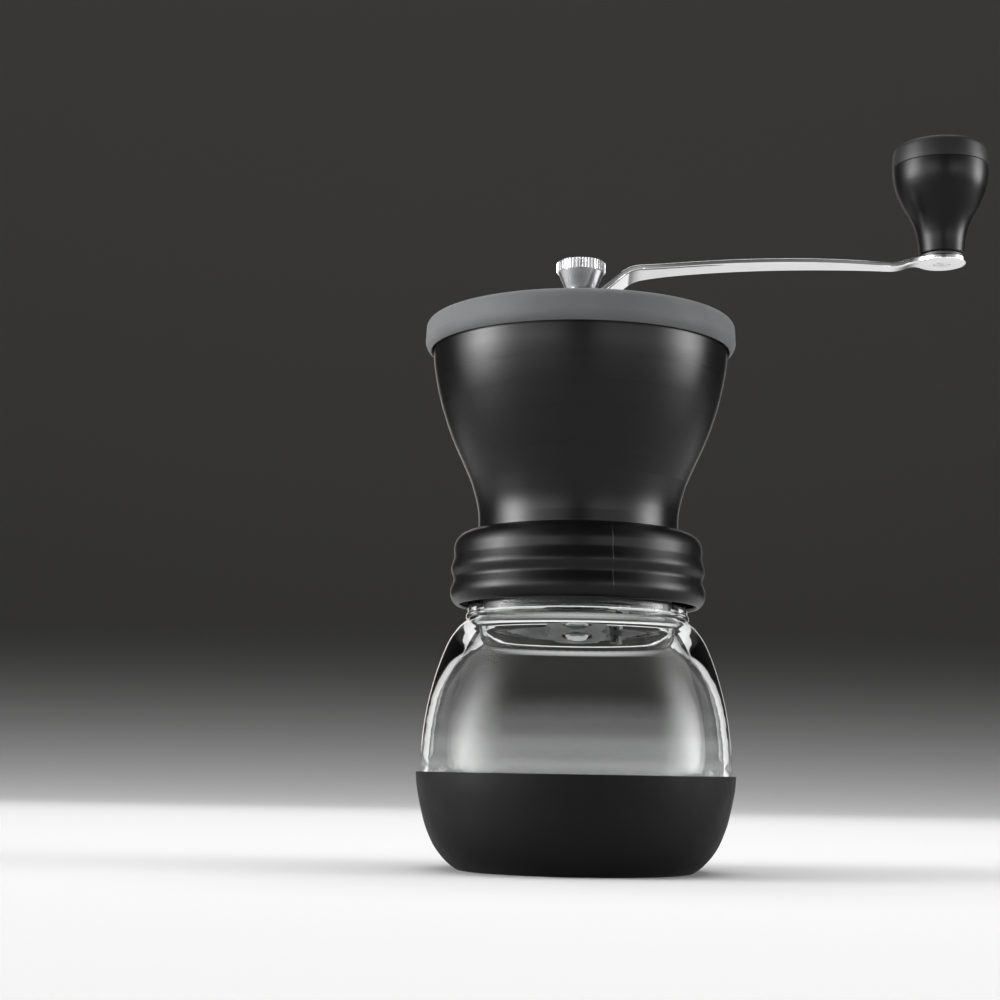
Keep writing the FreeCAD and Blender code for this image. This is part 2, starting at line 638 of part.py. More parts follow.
shaft = new_body("drive_shaft")
sr, kr = S("shaft_radius"), S("shaft_key_radius")
turned(shaft, "shaft_blank", [
    (0.0, S("shaft_foot")), (kr - 0.5, S("shaft_foot")), (kr, S("shaft_foot") + 0.5),
    (kr, S("shaft_key_top")),
    (sr, S("shaft_key_top")),
    (sr, S("circlip_low") - 0.02), (S("circlip_groove"), S("circlip_low") - 0.02),
    (S("circlip_groove"), S("circlip_low") + S("circlip_thick") + 0.02),
    (sr, S("circlip_low") + S("circlip_thick") + 0.02),
    (sr, S("crank_seat")), (kr, S("crank_seat")), (kr, S("crank_key_top")),
    (S("stud_radius"), S("crank_key_top")), (S("stud_radius"), S("stud_top") - 0.5),
    (S("stud_radius") - 0.5, S("stud_top")), (0.0, S("stud_top")),
])


def side_flats(sk):
    f = S("shaft_flat")
    outline(sk, [(-6.0, f), (6.0, f), (6.0, f + 6.0), (-6.0, f + 6.0)])
    g = S("shaft_flat") * -1.0
    outline(sk, [(-6.0, g), (6.0, g), (6.0, g - 6.0), (-6.0, g - 6.0)])


cut_down(shaft, "burr_flats", side_flats, S("shaft_key_top") - 1.2, S("shaft_key_top") - S("shaft_foot"))
cut_down(shaft, "crank_flats", side_flats, S("crank_key_top") + 0.0, S("crank_key_top") - S("crank_seat"))
node("drive_shaft", shaft)

circlip = new_body("shaft_circlip")
turned(circlip, "clip_ring", [
    (S("circlip_groove") + 0.05, S("circlip_low")), (S("circlip_outer"), S("circlip_low")),
    (S("circlip_outer"), S("circlip_low") + S("circlip_thick")),
    (S("circlip_groove") + 0.05, S("circlip_low") + S("circlip_thick")),
])
cut_down(circlip, "clip_gap",
         lambda sk: outline(sk, [(-8.0, -2.2), (-1.0, -2.2), (-1.0, 2.2), (-8.0, 2.2)]),
         S("circlip_low") + 1.5, 3.0)
node("shaft_circlip", circlip)

washer = new_body("thrust_washer")
turned(washer, "washer_ring", [
    (sr + 0.05, S("washer_low")), (S("washer_outer"), S("washer_low")),
    (S("washer_outer"), S("washer_low") + S("washer_thick")), (sr + 0.05, S("washer_low") + S("washer_thick")),
])
node("thrust_washer", washer)

spring = new_body("grind_spring")
wire_sketch = new_sketch(spring, "wire_section")
ring(wire_sketch, S("spring_wire"), S("spring_radius"), S("spring_low"))
doc.recompute()
coil = spring.newObject("PartDesign::AdditiveHelix", "coil")
coil.Profile = wire_sketch
coil.ReferenceAxis = (wire_sketch, ["V_Axis"])
coil.Mode = "height-turns-angle"
coil.Height = float(S("spring_top") - S("spring_low"))
coil.Turns = float(S("spring_turns"))
coil.Angle = 0.0
coil.setExpression("Height", "Sizes.spring_top - Sizes.spring_low")
coil.setExpression("Turns", "Sizes.spring_turns")
node("grind_spring", spring)

# ---------------------------------------------------------------------------
# inner burr, its hub and the grind adjuster
# ---------------------------------------------------------------------------

inner_burr = new_body("inner_burr")
turned(inner_burr, "cone_burr", [
    (S("inner_burr_bore"), S("inner_burr_low")), (S("inner_burr_radius") - 0.6, S("inner_burr_low")),
    (S("inner_burr_radius"), S("inner_burr_low") + 0.6), (15.4, 84.6), (12.6, 88.6),
    (9.2, S("inner_burr_top") - 1.0), (8.0, S("inner_burr_top")), (S("inner_burr_bore"), S("inner_burr_top")),
])
cut_down(inner_burr, "fine_flute", notch(14.9, 18.6, 1.15, 0.6), 85.2, 5.3, S("fine_teeth"))
cut_down(inner_burr, "coarse_flute", notch(8.2, 15.5, 2.6, 2.0), S("inner_burr_top") + 0.1, 10.2, S("coarse_teeth"))
node("inner_burr", inner_burr)

kg = S("key_gap")


def keyed_hole(sk):
    flats(sk, S("shaft_key_radius") + kg, S("shaft_flat") + kg)


hub = new_body("burr_hub")
turned(hub, "hub_sleeve", [
    (1.0, S("hub_flange_low")), (S("hub_flange_radius"), S("hub_flange_low")),
    (S("hub_flange_radius"), S("inner_burr_low") - 0.05), (S("hub_radius"), S("inner_burr_low") - 0.05),
    (S("hub_radius"), S("hub_top")), (1.0, S("hub_top")),
])
cut_down(hub, "hub_key", keyed_hole, S("hub_top") + 0.5, S("hub_top") - S("hub_flange_low") + 1.0)
node("burr_hub", hub)

detent = new_body("detent_washer")
turned(detent, "detent_disc", [
    (1.0, S("detent_low") + 0.3), (S("detent_radius"), S("detent_low") + 0.3),
    (S("detent_radius"), S("detent_top")), (1.0, S("detent_top")),
])
cut_down(detent, "detent_key", keyed_hole, S("detent_top") + 0.5, 2.0)
node("detent_washer", detent)

adjuster = new_body("adjusting_nut")
turned(adjuster, "adjuster_wheel", [
    (S("insert_radius") + 0.02, S("adjuster_low")), (S("adjuster_radius") - 1.0, S("adjuster_low")),
    (S("adjuster_radius"), S("adjuster_low") + 1.0), (S("adjuster_radius"), S("adjuster_top") - 1.4),
    (S("adjuster_radius") - 1.0, S("adjuster_top") - 0.4), (S("insert_radius") + 0.02, S("adjuster_top") - 0.4),
])
cut_down(adjuster, "lobe",
         lambda sk: ring(sk, 2.2, S("adjuster_radius") + 0.9, 0.0),
         S("adjuster_top") + 1.0, S("adjuster_top") - S("adjuster_low") + 2.0, S("adjuster_lobes"))
cut_down(adjuster, "pip",
         lambda sk: ring(sk, 0.55, 6.6, 0.0), S("adjuster_top"), 0.9, S("detent_pips"))
node("adjusting_nut", adjuster)

insert = new_body("adjuster_insert")
turned(insert, "insert_sleeve", [
    (kr + S("shaft_running_gap"), S("insert_low")), (S("insert_radius"), S("insert_low")),
    (S("insert_radius"), S("adjuster_top") - 0.6), (kr + S("shaft_running_gap"), S("adjuster_top") - 0.6),
])
node("adjuster_insert", insert)

# ---------------------------------------------------------------------------
# lid
# ---------------------------------------------------------------------------

lid = new_body("hopper_lid")
lr, lt = S("lid_radius"), S("lid_top")
turned(lid, "lid_shell", [
    (S("lid_recess_radius"), 156.2), (S("lid_recess_radius") + 0.35, 155.8),
    [(46.35, 156.25), (47.05, 157.2), (lr, 158.8)],
    (lr - 0.2, 162.6),
    [(lr - 0.55, 163.95), (lr - 1.35, 164.75), (lr - 2.6, lt)],
    (14.0, lt), [(12.2, lt + 0.35), (11.2, lt + 1.3), (10.8, lt + 2.6)],
    (10.4, S("lid_boss_top") - 1.2), Arc((10.05, S("lid_boss_top") - 0.35), (9.2, S("lid_boss_top"))),
    (S("lid_hole_radius") + 0.4, S("lid_boss_top")), (S("lid_hole_radius"), S("lid_boss_top") - 0.4),
    (S("lid_hole_radius"), S("lid_underside")), (S("lid_plug_inner"), S("lid_underside")),
    (S("lid_plug_inner"), 157.8), (S("lid_plug_inner") + 0.5, 157.2), (S("lid_plug_outer") - 0.7, 157.2),
    (S("lid_plug_outer"), 158.2), (S("lid_plug_outer"), S("lid_underside")),
    (S("lid_recess_radius"), S("lid_underside")),
])
node("hopper_lid", lid)

# ---------------------------------------------------------------------------
# crank
# ---------------------------------------------------------------------------

# side view: hub plate, slope, one long shallow arch, small step up into the disc
t = float(S("strap_thick"))


def march(x, z, slope, turn, radius):
    """End of an arc that turns the strap by an angle, with its middle."""
    sign = 1.0 if turn > 0 else -1.0
    cx = x - sign * radius * math.sin(slope)
    cz = z + sign * radius * math.cos(slope)
    out = []
    for part in (0.5, 1.0):
        a = slope + turn * part
        out.append((cx + sign * radius * math.sin(a), cz - sign * radius * math.cos(a), a))
    return out


slope = math.radians(float(S("strap_slope")))
gentle = math.radians(float(S("strap_rise_end")))
hub_mid = float(S("hub_plate_low")) + t / 2
path = [("start", -11.0, hub_mid, 0.0)]
x, z, a = float(S("hub_flat")) - 0.9, hub_mid, 0.0
path.append(("line", x, z, a))
(mx, mz, ma), (x, z, a) = march(x, z, a, slope, float(S("hub_bend")) + t / 2)
path.append(("arc", mx, mz, ma, x, z, a))
length = float(S("slope_length"))
x, z = x + length * math.cos(a), z + length * math.sin(a)
path.append(("line", x, z, a))
(mx, mz, ma), (x, z, a) = march(x, z, a, gentle - slope, float(S("strap_bend")) - t / 2)
path.append(("arc", mx, mz, ma, x, z, a))
long_radius = (float(S("strap_crest")) - x) / math.sin(gentle)
fall = math.asin((float(S("strap_neck")) - float(S("strap_crest"))) / long_radius)
(mx, mz, ma), (x, z, a) = march(x, z, a, -gentle - fall, long_radius)
path.append(("arc", mx, mz, ma, x, z, a))
step = float(S("disc_low")) + t / 2 - z
step_radius = float(S("disc_step_radius"))
climb = math.acos((math.cos(a) + 1.0 - step / step_radius) / 2.0)
(mx, mz, ma), (x, z, a) = march(x, z, a, climb - a, step_radius)
path.append(("arc", mx, mz, ma, x, z, a))
(mx, mz, ma), (x, z, a) = march(x, z, a, -climb, step_radius)
path.append(("arc", mx, mz, ma, x, z, a))
path.append(("line", float(S("crank_reach")) + 12.0, z, 0.0))


def shifted(px, pz, pa, d):
    return (px - math.sin(pa) * d, pz + math.cos(pa) * d)


lower = [shifted(path[0][1], path[0][2], path[0][3], -t / 2)]
upper_back = []
for item in path[1:]:
    if item[0] == "line":
        lower.append(shifted(item[1], item[2], item[3], -t / 2))
    else:
        lower.append(Arc(shifted(item[1], item[2], item[3], -t / 2), shifted(item[4], item[5], item[6], -t / 2)))
ends_at = [path[0][1:4]] + [item[1:4] if item[0] == "line" else item[4:7] for item in path[1:]]
upper_back.append(shifted(*ends_at[-1], t / 2))
for i in range(len(path) - 1, 0, -1):
    to = shifted(*ends_at[i - 1], t / 2)
    if path[i][0] == "line":
        upper_back.append(to)
    else:
        upper_back.append(Arc(shifted(*path[i][1:4], t / 2), to))

side_body = new_body("strap_side")
side_sketch = new_sketch(side_body, "strap_side_outline")
outline(side_sketch, lower + upper_back)
extruded(side_body, "Pad", "strap_band", side_sketch, 40.0, symmetric=True)

# plan view: wide hub, flare to a tapering strap, flare to the disc
reach = float(S("crank_reach"))
hr = float(S("hub_radius_plan"))
dr = float(S("disc_radius"))
plan_body = new_body("strap_plan")
plan_sketch = new_sketch(plan_body, "strap_plan_outline", "XY_Plane", 165.0)
neck_half = float(S("neck_half"))
neck_fillet = float(S("neck_fillet"))
neck_dx = math.sqrt((dr + neck_fillet) ** 2 - (neck_half + neck_fillet) ** 2)
neck_x = reach - neck_dx
share = dr / (dr + neck_fillet)
meet = (reach - neck_dx * share, (neck_half + neck_fillet) * share)
turn = math.atan2(neck_half + neck_fillet, neck_dx)
half_turn = (math.pi / 2 + turn) / 2
via = (neck_x + neck_fillet * math.cos(half_turn), neck_half + neck_fillet - neck_fillet * math.sin(half_turn))
edge = [(6.0, 9.2), (10.0, 8.85), (13.5, 8.2), (16.5, 7.35), (19.0, 6.55), (22.0, 5.85), (26.0, 5.35), (32.0, 5.0),
        (46.0, 4.7), (58.0, 4.45), (69.0, 4.2), (77.0, 3.85), (84.0, 3.4), (90.0, 2.95), (95.0, 2.7)]
outline(plan_sketch, [
    (0.0, -hr),
    Smooth([(px, -py) for px, py in edge] + [(neck_x, -neck_half)], (1.0, 0.0), (1.0, 0.0)),
    Arc((via[0], -via[1]), (meet[0], -meet[1])),
    Arc((reach + dr, 0.0), meet),
    Arc(via, (neck_x, neck_half)),
    Smooth(list(reversed(edge)) + [(0.0, hr)], (-1.0, 0.0), (-1.0, 0.0)),
    Arc((-hr, 0.0), (0.0, -hr)),
])
extruded(plan_body, "Pad", "strap_blank", plan_sketch, 40.0)
strap = doc.addObject("Part::Common", "strap_form")
strap.Base, strap.Tool = side_body, plan_body

hub_hole = new_body("hub_hole")
hole_sketch = new_sketch(hub_hole, "hub_hole_outline", "XY_Plane", S("hub_plate_low") - 2.0)
keyed_hole(hole_sketch)
extruded(hub_hole, "Pad", "hub_hole_tool", hole_sketch, 8.0)
rivet_hole = doc.addObject("Part::Cylinder", "rivet_hole")
rivet_hole.setExpression("Radius", "Sizes.axle_foot_radius + 0.02")
rivet_hole.Height = 8.0
rivet_hole.Placement = Placement(Vector(reach, 0, float(S("disc_low")) - 3.0), Rotation())
holes = doc.addObject("Part::Fuse", "strap_holes")
holes.Base, holes.Tool = hub_hole, rivet_hole
blank = doc.addObject("Part::Cut", "strap_blank_cut")
blank.Base, blank.Tool = strap, holes
doc.recompute()


def rim_edges(solid):
    """The edges along the strap's two faces, not those of its holes."""
    found = []
    for number, rim_edge in enumerate(solid.Edges, 1):
        faces = [f for f in solid.Faces if any(rim_edge.isSame(e) for e in f.Edges)]
        if len(faces) != 2:
            continue
        mid = rim_edge.valueAt((rim_edge.FirstParameter + rim_edge.LastParameter) / 2)
        normals = [f.normalAt(*f.Surface.parameter(mid)) for f in faces]
        in_hub_hole = math.hypot(mid.x, mid.y) < 5.0
        in_rivet_hole = math.hypot(mid.x - reach, mid.y) < 4.0
        if math.degrees(normals[0].getAngle(normals[1])) > 60 and not in_hub_hole and not in_rivet_hole:
            found.append(number)
    return found


arm = doc.addObject("Part::Fillet", "crank_arm")
arm.Base = blank
rounding = float(S("strap_edge"))
arm.Edges = [(number, rounding, rounding) for number in rim_edges(blank.Shape)]
node("crank_arm", arm)


def at_knob(label, name, path):
    """A turned piece on the knob's axis."""
    body = new_body(label)
    turned(body, name, path)
    body.Placement = Placement(Vector(reach, 0, 0), Rotation())
    body.setExpression("Placement.Base.x", "Sizes.crank_reach")
    return node(label, body)


ar = S("axle_radius")
disc_top = S("disc_low") + S("strap_thick")
at_knob("knob_axle", "axle_pin", [
    (0.0, S("disc_low") + 0.45), (1.1, S("disc_low") + 0.35), (1.7, S("disc_low") - 0.1),
    (S("axle_foot_radius") - 0.3, S("disc_low") - 0.1), (S("axle_foot_radius"), S("disc_low") + 0.15),
    (S("axle_foot_radius"), disc_top + 0.02), (ar, disc_top + 0.02),
    (ar, S("retaining_low") - 0.02), (S("axle_neck_radius"), S("retaining_low") - 0.02),
    (S("axle_neck_radius"), S("retaining_low") + S("retaining_thick") + 0.02),
    (ar - 0.1, S("retaining_low") + S("retaining_thick") + 0.02),
    (ar - 0.1, S("axle_top") - 0.6), (ar - 0.7, S("axle_top")), (0.0, S("axle_top")),
])
at_knob("knob_washer", "knob_washer_ring", [
    (ar + 0.03, S("knob_washer_low")), (S("knob_washer_radius"), S("knob_washer_low")),
    (S("knob_washer_radius"), S("knob_low") - 0.3), (ar + 0.03, S("knob_low") - 0.3),
])
at_knob("knob_retainer", "knob_retainer_ring", [
    (S("axle_neck_radius") + 0.03, S("retaining_low")), (S("retaining_outer"), S("retaining_low")),
    (S("retaining_outer"), S("retaining_low") + S("retaining_thick")),
    (S("axle_neck_radius") + 0.03, S("retaining_low") + S("retaining_thick")),
])
split = S("knob_split")
belly = S("knob_belly_radius")
at_knob("knob_grip", "grip_form", [
    (ar + S("axle_gap"), S("knob_low")), (6.5, S("knob_low")), (6.85, S("knob_low") + 0.35),
    stations("knob") + [(belly - 0.03, split - 0.12)],
    (belly - 0.13, split),
    (S("knob_cavity_radius"), split),
    (S("knob_cavity_radius"), S("knob_cavity_low")), (ar + S("axle_gap"), S("knob_cavity_low")),
])
at_knob("knob_cap", "cap_form", [
    (0.0, split - 2.0), (S("knob_cavity_radius") - 0.02, split - 2.0),
    (S("knob_cavity_radius") - 0.02, split + S("knob_split_gap")),
    (belly - 0.13, split + S("knob_split_gap")), (belly - 0.04, split + S("knob_split_gap") + 0.11),
    [(belly - 0.08, split + 2.2), (belly - 0.28, split + 4.2), (belly - 0.55, split + 5.5),
     (belly - 1.15, split + 6.35), (belly - 2.35, split + 6.9), (9.0, split + 7.52), (5.0, split + 7.98),
     (0.0, S("knob_top"))],
])

# ---------------------------------------------------------------------------
# thumb nut and its washer
# ---------------------------------------------------------------------------

nut_washer = new_body("nut_washer")
turned(nut_washer, "nut_washer_ring", [
    (S("stud_radius") + 0.1, S("nut_washer_low")), (S("nut_washer_outer"), S("nut_washer_low")),
    (S("nut_washer_outer"), S("nut_washer_low") + S("nut_washer_thick")),
    (S("stud_radius") + 0.1, S("nut_washer_low") + S("nut_washer_thick")),
])
node("nut_washer", nut_washer)

nut = new_body("thumb_nut")
nr = S("nut_radius")
turned(nut, "nut_blank", [
    (S("stud_radius") + S("nut_bore_gap"), S("nut_low")), (S("nut_foot_radius"), S("nut_low")),
    (S("nut_foot_radius"), S("nut_low") + 0.6),
    (nr - 0.55, S("nut_band_low") - 0.1), (nr - 0.1, S("nut_band_low")), (nr, S("nut_band_low") + 0.2),
    (nr, S("nut_top") - 0.35), (nr - 0.35, S("nut_top")),
    (2.4, S("nut_top")), (1.9, S("nut_top") - 0.3), (0.0, S("nut_top") - 0.3),
    (0.0, S("nut_bore_top")), (S("stud_radius") + S("nut_bore_gap"), S("nut_bore_top")),
])
kd, kh, kf, kb = S("knurl_depth"), S("knurl_half"), S("knurl_floor_half"), S("knurl_bevel")
cut_down(nut, "knurl",
         lambda sk: outline(sk, [(nr - kd, kf * -1.0), (nr - kd, kf), (nr - kb, kh), (nr + 0.1, kh + kb + 0.1),
                                 (nr + 0.1, kh * -1.0 - kb - 0.1), (nr - kb, kh * -1.0)]),
         S("nut_top") + 0.1, S("nut_top") - S("nut_band_low") + 0.3, S("knurls"))
node("thumb_nut", nut)

# ---------------------------------------------------------------------------
# check and write
# ---------------------------------------------------------------------------

doc.recompute()
broken = []
for obj in doc.Objects:
    if "Invalid" in obj.State or "Error" in obj.State:
        broken.append("%s: %s" % (obj.Label, obj.State))
for label, obj in NODES.items():
    shape = obj.Shape
    if shape.isNull() or not shape.isValid() or not shape.Solids:
        broken.append("%s: bad shape" % label)
if broken:
    raise RuntimeError("; ".join(broken))

os.makedirs("parts", exist_ok=True)
for old in os.listdir("parts"):
    if old.endswith(".step") and old[:-5] not in NODES:
        os.remove(os.path.join("parts", old))
for label, obj in NODES.items():
    obj.Shape.exportStep("parts/%s.step" % label)
    box = obj.Shape.BoundBox
    print("%-16s solids %d  volume %9.1f  z %.2f..%.2f  x %.2f..%.2f" % (
        label, len(obj.Shape.Solids), obj.Shape.Volume, box.ZMin, box.ZMax, box.XMin, box.XMax))
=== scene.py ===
import bpy
import bmesh
import math
from mathutils import Matrix, Vector


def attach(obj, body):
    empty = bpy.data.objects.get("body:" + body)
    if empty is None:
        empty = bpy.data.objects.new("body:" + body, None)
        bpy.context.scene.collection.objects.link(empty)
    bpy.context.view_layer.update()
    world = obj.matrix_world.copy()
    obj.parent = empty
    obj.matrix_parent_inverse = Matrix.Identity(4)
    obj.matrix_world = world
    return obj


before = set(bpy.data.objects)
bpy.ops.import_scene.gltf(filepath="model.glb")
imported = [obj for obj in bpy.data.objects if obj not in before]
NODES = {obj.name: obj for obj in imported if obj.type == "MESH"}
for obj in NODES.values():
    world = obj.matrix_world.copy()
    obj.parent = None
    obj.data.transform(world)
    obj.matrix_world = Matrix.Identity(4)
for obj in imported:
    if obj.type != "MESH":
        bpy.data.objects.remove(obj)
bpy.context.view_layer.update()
scene = bpy.context.scene

# ---------------------------------------------------------------------------
# camera: level with the boot's rim, looking slightly up
# ---------------------------------------------------------------------------

pitch, roll, yaw = math.radians(8.220), math.radians(0.996), math.radians(-2.415)
ahead = Vector((math.sin(yaw) * math.cos(pitch), math.cos(yaw) * math.cos(pitch), math.sin(pitch)))
level = Vector((math.cos(yaw), -math.sin(yaw), 0.0))
above = level.cross(ahead)
side = math.cos(roll) * level + math.sin(roll) * above
top = -math.sin(roll) * level + math.cos(roll) * above
lens = bpy.data.cameras.new("camera")
lens.sensor_fit = "HORIZONTAL"
lens.sensor_width = 36.0
lens.lens = 67.366
lens.clip_start, lens.clip_end = 0.01, 50.0
camera = bpy.data.objects.new("camera", lens)
scene.collection.objects.link(camera)
camera.matrix_world = Matrix((
    (side.x, top.x, -ahead.x, -0.00011),
    (side.y, top.y, -ahead.y, -0.56334),
    (side.z, top.z, -ahead.z, 0.0290),
    (0.0, 0.0, 0.0, 1.0)))
scene.camera = camera

# ---------------------------------------------------------------------------
# stage and light
# ---------------------------------------------------------------------------

scene.view_settings.view_transform = "Standard"
scene.view_settings.look = "None"
scene.view_settings.exposure = 0.0


def sweep():
    """A pale floor that curves up into a plain back wall."""
    bm = bmesh.new()
    line = [(-4.0, 0.0), (0.9, 0.0)]
    for k in range(1, 25):
        a = math.radians(90.0 * k / 24)
        line.append((0.9 + 0.9 * math.sin(a), 0.9 - 0.9 * math.cos(a)))
    line.append((1.8, 4.0))
    rows = []
    for y, z in line:
        rows.append([bm.verts.new((x, y, z - 0.00006)) for x in (-5.0, 5.0)])
    for a, b in zip(rows, rows[1:]):
        bm.faces.new((a[0], a[1], b[1], b[0]))
    mesh = bpy.data.meshes.new("sweep")
    bm.to_mesh(mesh)
    bm.free()
    for p in mesh.polygons:
        p.use_smooth = True
    ob = bpy.data.objects.new("sweep", mesh)
    scene.collection.objects.link(ob)
    m = bpy.data.materials.new("sweep")
    m.use_nodes = True
    tree = m.node_tree
    b = tree.nodes["Principled BSDF"]
    place = tree.nodes.new("ShaderNodeTexCoord")
    split = tree.nodes.new("ShaderNodeSeparateXYZ")
    fade = tree.nodes.new("ShaderNodeValToRGB")
    reach = tree.nodes.new("ShaderNodeMapRange")
    reach.inputs["From Min"].default_value = 0.55
    reach.inputs["From Max"].default_value = 1.45
    tree.links.new(place.outputs["Object"], split.inputs[0])
    tree.links.new(split.outputs["Y"], reach.inputs["Value"])
    tree.links.new(reach.outputs[0], fade.inputs[0])
    fade.color_ramp.interpolation = "EASE"
    fade.color_ramp.elements[0].color = (0.56, 0.56, 0.56, 1.0)
    fade.color_ramp.elements[1].color = (0.019, 0.0185, 0.018, 1.0)
    tree.links.new(fade.outputs[0], b.inputs["Base Color"])
    b.inputs["Roughness"].default_value = 0.9
    b.inputs["Specular IOR Level"].default_value = 0.0
    mesh.materials.append(m)
    return ob


sweep()


def softbox(name, at, to, wide, high, watts, colour=(1.0, 1.0, 1.0), lights="all"):
    data = bpy.data.lights.new(name, "AREA")
    data.shape = "RECTANGLE"
    data.size, data.size_y = wide, high
    data.energy = watts
    data.color = colour
    ob = bpy.data.objects.new(name, data)
    scene.collection.objects.link(ob)
    direction = (Vector(to) - Vector(at)).normalized()
    ob.matrix_world = Matrix.Translation(Vector(at)) @ direction.to_track_quat("-Z", "Y").to_matrix().to_4x4()
    ob.visible_camera = False
    if lights != "all":
        ob.visible_diffuse = lights == "matte"
        ob.visible_glossy = lights == "gloss"
        ob.visible_transmission = lights == "glass"
    return ob


softbox("left_rim", (-0.32, 1.18, 0.34), (0.0, 0.0, 0.12), 0.16, 0.9, 0.62, (1.0, 0.92, 0.90), "gloss")
softbox("right_rim", (0.32, 1.18, 0.34), (0.0, 0.0, 0.12), 0.12, 0.9, 0.30, (1.0, 1.0, 1.0), "gloss")
softbox("left_edge", (-0.60, 1.04, 0.30), (0.0, 0.0, 0.05), 0.34, 0.9, 0.90, (1.0, 1.0, 1.0), "glass")
softbox("right_edge", (0.60, 1.04, 0.30), (0.0, 0.0, 0.05), 0.34, 0.9, 0.90, (1.0, 1.0, 1.0), "glass")
softbox("top_box", (0.05, 0.30, 1.25), (0.03, 0.0, 0.10), 0.9, 0.6, 3.4)
softbox("over_fill", (0.0, 0.05, 1.6), (0.0, 0.0, 0.0), 1.8, 1.4, 26.0, (1.0, 1.0, 1.0), "matte")

# Soft light wraps round from both sides: strongest a little in front of square
# on, weak behind the camera, low to the table.
world = bpy.data.worlds.new("studio")
scene.world = world
world.use_nodes = True
wt = world.node_tree
wt.nodes.clear()


def world_node(kind, **settings):
    n = wt.nodes.new(kind)
    for key, value in settings.items():
        setattr(n, key, value)
    return n


def world_maths(kind, a, b=None):
    n = world_node("ShaderNodeMath", operation=kind)
    for i, value in enumerate((a, b)):
        if value is None:
            continue
        if hasattr(value, "is_linked"):
            wt.links.new(value, n.inputs[i])
        else:
            n.inputs[i].default_value = value
    return n.outputs[0]


def world_curve(socket, stops):
    n = world_node("ShaderNodeValToRGB")
    n.color_ramp.interpolation = "B_SPLINE"
    while len(n.color_ramp.elements) < len(stops):
        n.color_ramp.elements.new(0.5)
    for e, (at, level) in zip(n.color_ramp.elements, stops):
        e.position = at
        e.color = (level, level, level, 1.0)
    wt.links.new(socket, n.inputs[0])
    return n.outputs[0]


w_split = world_node("ShaderNodeSeparateXYZ")
wt.links.new(world_node("ShaderNodeTexCoord").outputs["Generated"], w_split.inputs[0])
w_x, w_y, w_z = w_split.outputs
turn = world_maths("DIVIDE", world_maths("ARCTAN2", w_x, world_maths("MULTIPLY", w_y, -1.0)), math.pi)
lift = world_maths("DIVIDE", world_maths("ARCSINE", w_z), math.pi / 2)


def round_light(left, right):
    """Light by the angle from straight behind the camera, for each side its own stops."""
    def one(side_turn, stops):
        return world_curve(side_turn, [(d / 180.0, level / 40.0) for d, level in stops])
    return world_maths("MAXIMUM", one(world_maths("MAXIMUM", world_maths("MULTIPLY", turn, -1.0), 0.0), left),
                       one(world_maths("MAXIMUM", turn, 0.0), right))


boxes = round_light(
    [(0, 0.12), (30, 0.20), (46, 1.0), (56, 5.0), (64, 15.0), (72, 29.0), (80, 35.0), (88, 23.0),
     (97, 6.0), (106, 1.6), (116, 0.3), (128, 0.15), (180, 0.12)],
    [(0, 0.14), (30, 0.22), (50, 0.6), (62, 1.5), (70, 4.5), (78, 13.0), (86, 22.0), (93, 20.0),
     (101, 10.0), (109, 3.0), (118, 0.7), (128, 0.2), (180, 0.15)])
boxes = world_maths("MULTIPLY", boxes, world_curve(lift, [
    (0.0, 1.0), (0.08, 1.0), (0.14, 0.62), (0.22, 0.40), (0.32, 0.26), (0.42, 0.09), (0.55, 0.03), (1.0, 0.02)]))
glow = round_light(
    [(0, 0.0), (7, 1.5), (16, 6.0), (36, 11.0), (56, 9.0), (75, 0.0), (90, 0.0)],
    [(0, 0.0), (8, 1.5), (18, 6.5), (30, 6.0), (52, 5.0), (75, 1.0), (90, 0.0)])
glow = world_maths("MULTIPLY", glow, world_curve(lift, [(0.0, 1.0), (0.035, 1.0), (0.07, 0.2), (0.10, 0.0)]))
both = world_maths("ADD", boxes, glow)
w_back = world_node("ShaderNodeBackground")
wt.links.new(world_maths("MULTIPLY", both, 40.0), w_back.inputs["Strength"])
w_back.inputs["Color"].default_value = (1.0, 1.0, 1.0, 1.0)
wt.links.new(w_back.outputs[0], world_node("ShaderNodeOutputWorld").inputs[0])

# ---------------------------------------------------------------------------
# materials
# ---------------------------------------------------------------------------


